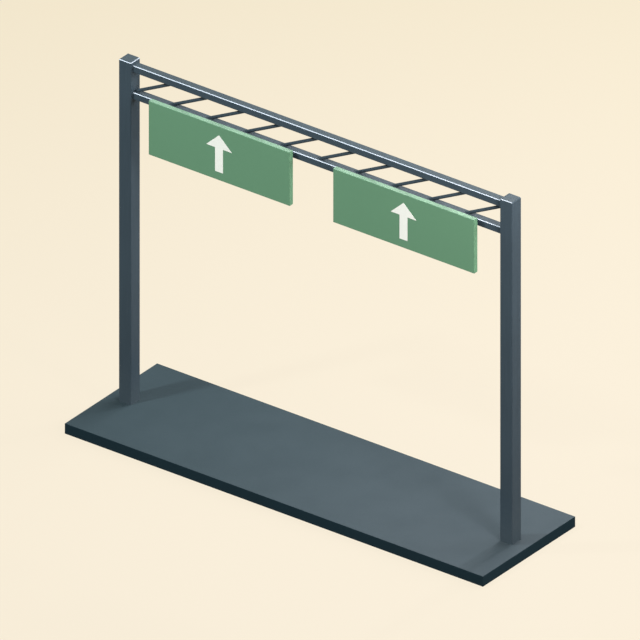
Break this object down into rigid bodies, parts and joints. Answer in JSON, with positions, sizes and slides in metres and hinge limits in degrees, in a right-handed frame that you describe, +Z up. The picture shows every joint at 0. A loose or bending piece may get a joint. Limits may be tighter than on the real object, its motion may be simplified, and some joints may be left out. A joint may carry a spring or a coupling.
{
  "type": "overhead sign gantry",
  "caption": "Overhead sign gantry: square posts on a base slab carry a flat lattice girder of box chords and leaning tube braces, with box signs that each show an upward arrow.",
  "frame": {"origin": "middle of the base slab's underside", "axes": "+X along the span from the left post to the right post, +Y away from the side that drivers see, +Z up"},
  "size_m": [8.885, 2.615, 6.86],
  "materials": {
    "slab": "cast concrete, dark grey, with dark coated sides",
    "steel": "satin dark slate blue paint on steel box sections",
    "brace": "satin grey paint on steel tube",
    "sign_green": "folded sheet with satin green sheeting",
    "sign_back": "plain grey coated sheet",
    "rail": "satin dark slate blue paint",
    "arrow_white": "satin white sheeting on thin plate"
  },
  "bodies": {
    "root": {"base_slab": "slab", "left_post": "steel", "left_post_cap": "steel", "right_post": "steel", "right_post_cap": "steel", "upper_chord": "steel", "lower_chord": "steel", "brace_01": "brace", "brace_02": "brace", "brace_03": "brace", "brace_04": "brace", "brace_05": "brace", "brace_06": "brace", "brace_07": "brace", "brace_08": "brace", "brace_09": "brace", "brace_10": "brace", "left_sign_box": "sign_green", "left_sign_back": "sign_back", "left_sign_rail_1": "rail", "left_sign_rail_2": "rail", "left_sign_rail_3": "rail", "left_arrow": "arrow_white", "right_sign_box": "sign_green", "right_sign_back": "sign_back", "right_sign_rail_1": "rail", "right_sign_rail_2": "rail", "right_sign_rail_3": "rail", "right_arrow": "arrow_white"}
  },
  "joints": []
}
